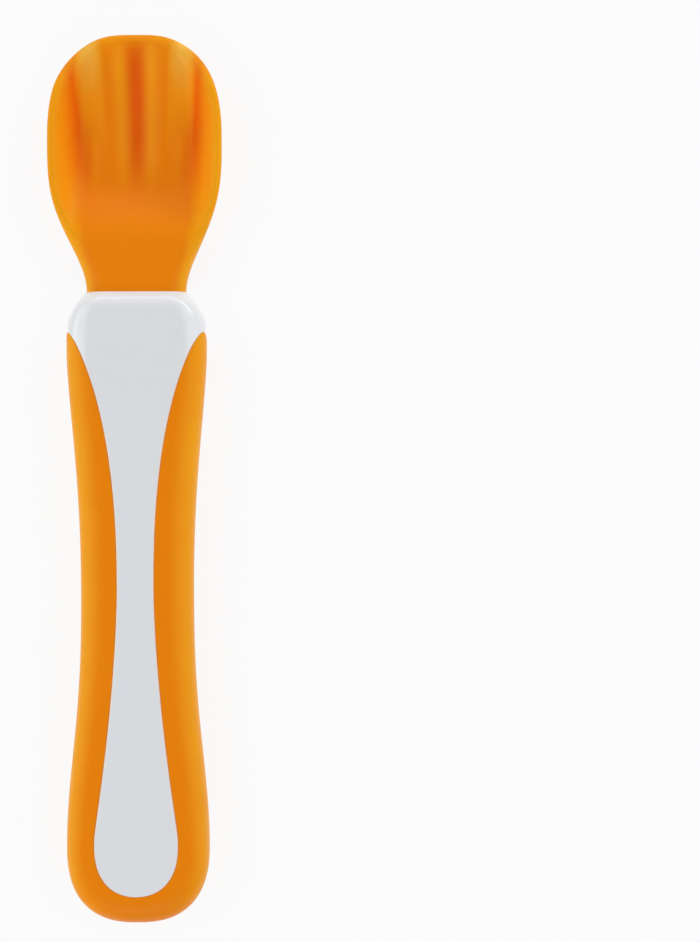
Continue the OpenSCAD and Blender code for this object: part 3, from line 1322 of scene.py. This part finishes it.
@dataclass
class HandleCore:
    """The hard core: its collar, the panels on both faces, the web and the collar's socket."""

    form: HandleForm
    edge_bevel: float = 0.28 * MM
    bevel_rise: float = 0.15
    fit_gap: float = 0.1 * MM
    blade_width: float = 8.4 * MM
    blade_thickness: float = 2.2 * MM
    blade_tail: float = 13.0 * MM
    collar_crowding: float = 1.36
    collar_steps: int = 44
    straight_steps: int = 130
    end_steps: int = 64
    panel_steps: int = 30
    bevel_steps: int = 6
    # Reach of the painted highlight on the rounded edges.
    highlight_front: float = 2.2 * MM
    highlight_side: float = 3.8 * MM
    highlight_power: float = 1.8
    tip_power: float = 4.0
    web_spots: int = 2

    def highlight_share(self, point: Vector) -> float:
        """Work out the painted highlight on the collar's rounded edges.

        Args:
            point: Place in plan, as x and u.

        Returns:
            The share of painted highlight, from 0 to 1.
        """
        side = clamp((self.form.half(point.y) - point.x) / self.highlight_side)
        front = clamp(point.y / self.highlight_front)
        return 1.0 - ease(side**self.highlight_power) * ease(front**self.highlight_power)

    def collar_row(self, share: float) -> list[Spot]:
        """Return one row of the collar, which grows from the neck's section.

        Args:
            share: 0 at the collar's front, 1 at the grip's tips.

        Returns:
            Spots from the middle of the top round to the middle of the back.
        """
        form = self.form
        u = form.notch_at * share**self.collar_crowding
        half = form.half(u)
        rise = 1.0 - (1.0 - clamp(u / form.collar_rise)) ** form.collar_power
        half_thickness = mix(form.neck_thickness, form.thickness, rise) / 2.0
        rounding = mix(form.neck_round, form.edge_round, clamp(u / form.notch_at))
        reach = half - form.tip_width * share**self.tip_power
        face = []
        for step in steps(self.panel_steps):
            x = reach * arc(step)
            inward = half - x + form.notch(u)
            face.append((Vector((x, u)), form.skin(inward, rounding, half_thickness)))
        side = [(Vector((half, u)), form.land / 2.0)] * (self.bevel_steps + self.web_spots)
        return self.whole_row(face + side, 0.0)

    def panel_row(self, place: float) -> list[Spot]:
        """Return one row of the panels and the web between them.

        Args:
            place: 0 at the grip's tips, 1 where the panels' ends begin to round, 2 at their ends.

        Returns:
            Spots from the middle of the top round to the middle of the back.
        """
        form = self.form
        inner, outer = form.pair(place)
        band = (outer - inner).length
        rounding = form.rounding(inner, outer)
        bevel = min(self.edge_bevel, inner.x / 2.0, self.bevel_rise * (inner.y - form.notch_at))
        flat = inner.x - bevel
        face = []
        for step in steps(self.panel_steps):
            x = flat * arc(step)
            face.append((Vector((x, inner.y)), form.face(band + inner.x - x, inner.y, rounding)))
        for step in steps(self.bevel_steps)[1:]:
            turn = math.pi / 2.0 * step
            x = flat + bevel * math.sin(turn)
            drop = bevel * (1.0 - math.cos(turn))
            height = form.face(band + inner.x - x, inner.y, rounding) - drop
            face.append((Vector((x, inner.y)), height))
        web_z = min(form.web_thickness / 2.0, form.face(band, inner.y, rounding) / 2.0)
        face.append((inner, web_z))
        face.append((form.web_edge(inner, outer), web_z))
        return self.whole_row(face, 1.0)

    def whole_row(self, face: Sequence[tuple[Vector, float]], seam_highlight: float) -> list[Spot]:
        """Return the top half of a row and its mirror below.

        Args:
            face: Points and heights of the top half, from the middle out.
            seam_highlight: How much of the cream painted highlight along the panel's edge shows
                past the flat part.

        Returns:
            The whole row.
        """
        row = []
        for i, (point, height) in enumerate(face):
            # Past the flat part lies the cream painted highlight along the panel's edge.
            light_share = 0.0 if i <= self.panel_steps else seam_highlight
            row.append((point, height, light_share, self.highlight_share(point)))
        spot = self.form.spot
        top = [spot(point, height, *looks) for point, height, *looks in row]
        return top + [spot(point, -height, *looks) for point, height, *looks in reversed(row)]

    def build(self) -> bpy.types.Object:
        """Build the piece that stands for the handle core.

        Returns:
            The piece.
        """
        rows = [self.collar_row(share) for share in steps(self.collar_steps)]
        rows += [self.panel_row(share) for share in steps(self.straight_steps)]
        rows += [self.panel_row(1.0 + share) for share in steps(self.end_steps)[1:]]
        skin = Skin(rows)
        skin.mirror()
        form, gap = self.form, 2.0 * self.fit_gap
        (mouth,) = skin.cap(form.front_y)
        plug = (form.plug_width + gap, form.plug_thickness + gap)
        blade = (self.blade_width + gap, self.blade_thickness + gap)
        face = skin.step(mouth, *plug, 0.0)
        face = skin.step(face, *plug, -form.plug_length - self.fit_gap)
        face = skin.step(face, *blade, 0.0)
        skin.step(face, *blade, form.plug_length - self.blade_tail)
        piece = skin.finish("handle")
        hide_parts("handle_core")
        return piece


class Lamp(NamedTuple):
    """A soft box: where it hangs, its long and short side, and its power in watts."""

    name: str
    place: tuple[float, float, float]
    size: tuple[float, float]
    power: float


@dataclass
class Studio:
    """The pale floor, the soft lamps and the camera above them."""

    view_x: float = 33.63 * MM
    view_y: float = 1.1 * MM
    view_height: float = 0.4
    view_level: float = 7.0 * MM
    frame_height: float = 0.1482
    roll: float = -0.2
    floor_size: float = 3.0
    floor_drop: float = 0.1 * MM
    shadow_share: float = 0.1
    clip: tuple[float, float] = (0.01, 20.0)
    floor_grey: float = 0.86
    sky: float = 0.14
    sky_tint: Colour = (0.95, 0.97, 1.0)
    lamps: tuple[Lamp, ...] = (
        Lamp("left_box", (-0.36, 0.04, 0.34), (0.6, 0.4), 0.97),
        Lamp("right_box", (0.38, 0.04, 0.34), (0.6, 0.4), 0.85),
        Lamp("left_strip", (-0.45, 0.0, 0.1), (0.6, 0.1), 0.52),
        Lamp("right_strip", (0.47, 0.0, 0.1), (0.6, 0.1), 0.2),
        Lamp("front_box", (0.0, 0.48, 0.34), (0.5, 0.25), 0.3),
        Lamp("front_strip", (0.0, 0.5, 0.1), (0.5, 0.1), 0.43),
        Lamp("corner_strip", (0.36, 0.38, 0.1), (0.4, 0.1), 0.66),
        Lamp("rear_box", (0.0, -0.5, 0.34), (0.4, 0.25), 1.12),
    )

    def build(self) -> None:
        """Set up the whole studio."""
        self.lay_floor()
        self.hang_sky()
        for lamp in self.lamps:
            self.hang_lamp(lamp)
        self.mount_camera()
        bpy.context.scene.view_settings.view_transform = "Standard"

    @staticmethod
    def seen(tree: Tree) -> Socket:
        """Tell what the camera sees, straight, in a reflection or through glass.

        Args:
            tree: The floor's or the sky's tree.

        Returns:
            A socket that is 1 for such rays and 0 for all others.
        """
        rays = tree.add("ShaderNodeLightPath").outputs
        either = tree.math("MAXIMUM", rays["Is Camera Ray"], rays["Is Glossy Ray"])
        return tree.math("MAXIMUM", either, rays["Is Transmission Ray"])

    def lay_floor(self) -> None:
        """Lay the floor, white to the camera but for the spoon's soft shadow."""
        mesh = bmesh.new()
        bmesh.ops.create_grid(mesh, x_segments=1, y_segments=1, size=self.floor_size / 2.0)
        bmesh.ops.translate(mesh, verts=mesh.verts, vec=(0.0, 0.0, -self.floor_drop))
        floor = settle("floor", mesh)
        made = bpy.data.materials.new("studio_floor")
        made.use_nodes = True
        tree, grey = Tree(made.node_tree), self.floor_grey
        paper = tree.add("ShaderNodeBsdfDiffuse")
        paper.inputs["Color"].default_value = (grey, grey, grey, 1.0)
        light = tree.add("ShaderNodeEmission")
        light.inputs["Color"].default_value = WHITE
        share = tree.math("MULTIPLY", self.seen(tree), 1.0 - self.shadow_share)
        both = tree.join(share, paper, light)
        tree.link(both, tree.add("ShaderNodeOutputMaterial").inputs["Surface"])
        floor.data.materials.append(made)

    def hang_sky(self) -> None:
        """Light the scene from all round, with plain white behind it."""
        world = bpy.data.worlds.new("studio_sky")
        world.use_nodes = True
        bpy.context.scene.world = world
        tree = Tree(world.node_tree)
        soft, white = tree.add("ShaderNodeBackground"), tree.add("ShaderNodeBackground")
        soft.inputs["Color"].default_value = (*self.sky_tint, 1.0)
        soft.inputs["Strength"].default_value = self.sky
        white.inputs["Color"].default_value = WHITE
        both = tree.join(self.seen(tree), soft, white)
        tree.link(both, tree.add("ShaderNodeOutputWorld").inputs["Surface"])

    @staticmethod
    def hang_lamp(lamp: Lamp) -> None:
        """Hang one soft box that faces the middle of the spoon.

        Args:
            lamp: The soft box.
        """
        data = bpy.data.lights.new(lamp.name, "AREA")
        data.shape = "RECTANGLE"
        data.size, data.size_y = lamp.size
        data.energy = lamp.power
        box = put(lamp.name, data)
        box.location = lamp.place
        box.rotation_euler = (-Vector(lamp.place)).to_track_quat("-Z", "Y").to_euler()

    def mount_camera(self) -> None:
        """Mount the camera straight above, centred between the spoon and the empty side."""
        data = bpy.data.cameras.new("camera")
        data.lens = data.sensor_width * self.view_height / self.frame_height
        data.clip_start, data.clip_end = self.clip
        camera = put("camera", data)
        camera.location = (self.view_x, self.view_y, self.view_level + self.view_height)
        camera.rotation_euler = (0.0, 0.0, math.radians(self.roll))
        bpy.context.scene.camera = camera


@dataclass
class Spoon:
    """The whole spoon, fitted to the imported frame."""

    shelf: EffectShelf = field(default_factory=EffectShelf)

    def forms(self) -> tuple[HandleForm, BowlForm]:
        """Work out the forms from the boxes of the frame's nodes.

        Returns:
            The handle's form and the bowl's.
        """
        core_low, core_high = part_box("handle_core")
        bowl_low, bowl_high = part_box("bowl")
        butt_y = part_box("grip")[0].y
        handle = HandleForm(core_high.y, core_high.y - butt_y, core_high.z - core_low.z)
        length, width = bowl_high.y - core_high.y, bowl_high.x - bowl_low.x
        return handle, BowlForm(handle, length, width, bowl_high.z)

    def build(self) -> None:
        """Build and dress every piece."""
        handle, bowl = self.forms()
        soft = SOFT_ORANGE.material(self.shelf)
        white = COOL_WHITE.material(self.shelf)
        for piece, material in (
            (BowlHead(bowl).build(), soft),
            (GripSleeve(handle).build(), soft),
            (HandleCore(handle).build(), white),
        ):
            piece.data.materials.append(material)
            LOG.info("%s: %d faces, %s", piece.name, len(piece.data.polygons), material.name)
        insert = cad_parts["bowl_insert"]
        insert.data.materials.clear()
        insert.data.materials.append(MATTE_CREAM.material(self.shelf))
        LOG.info("%s: kept from the frame", insert.name)


def main() -> None:
    """Build the spoon and its studio."""
    logging.basicConfig(level=logging.INFO, format="%(name)s: %(message)s")
    Spoon().build()
    Studio().build()


if __name__ == "__main__":
    main()
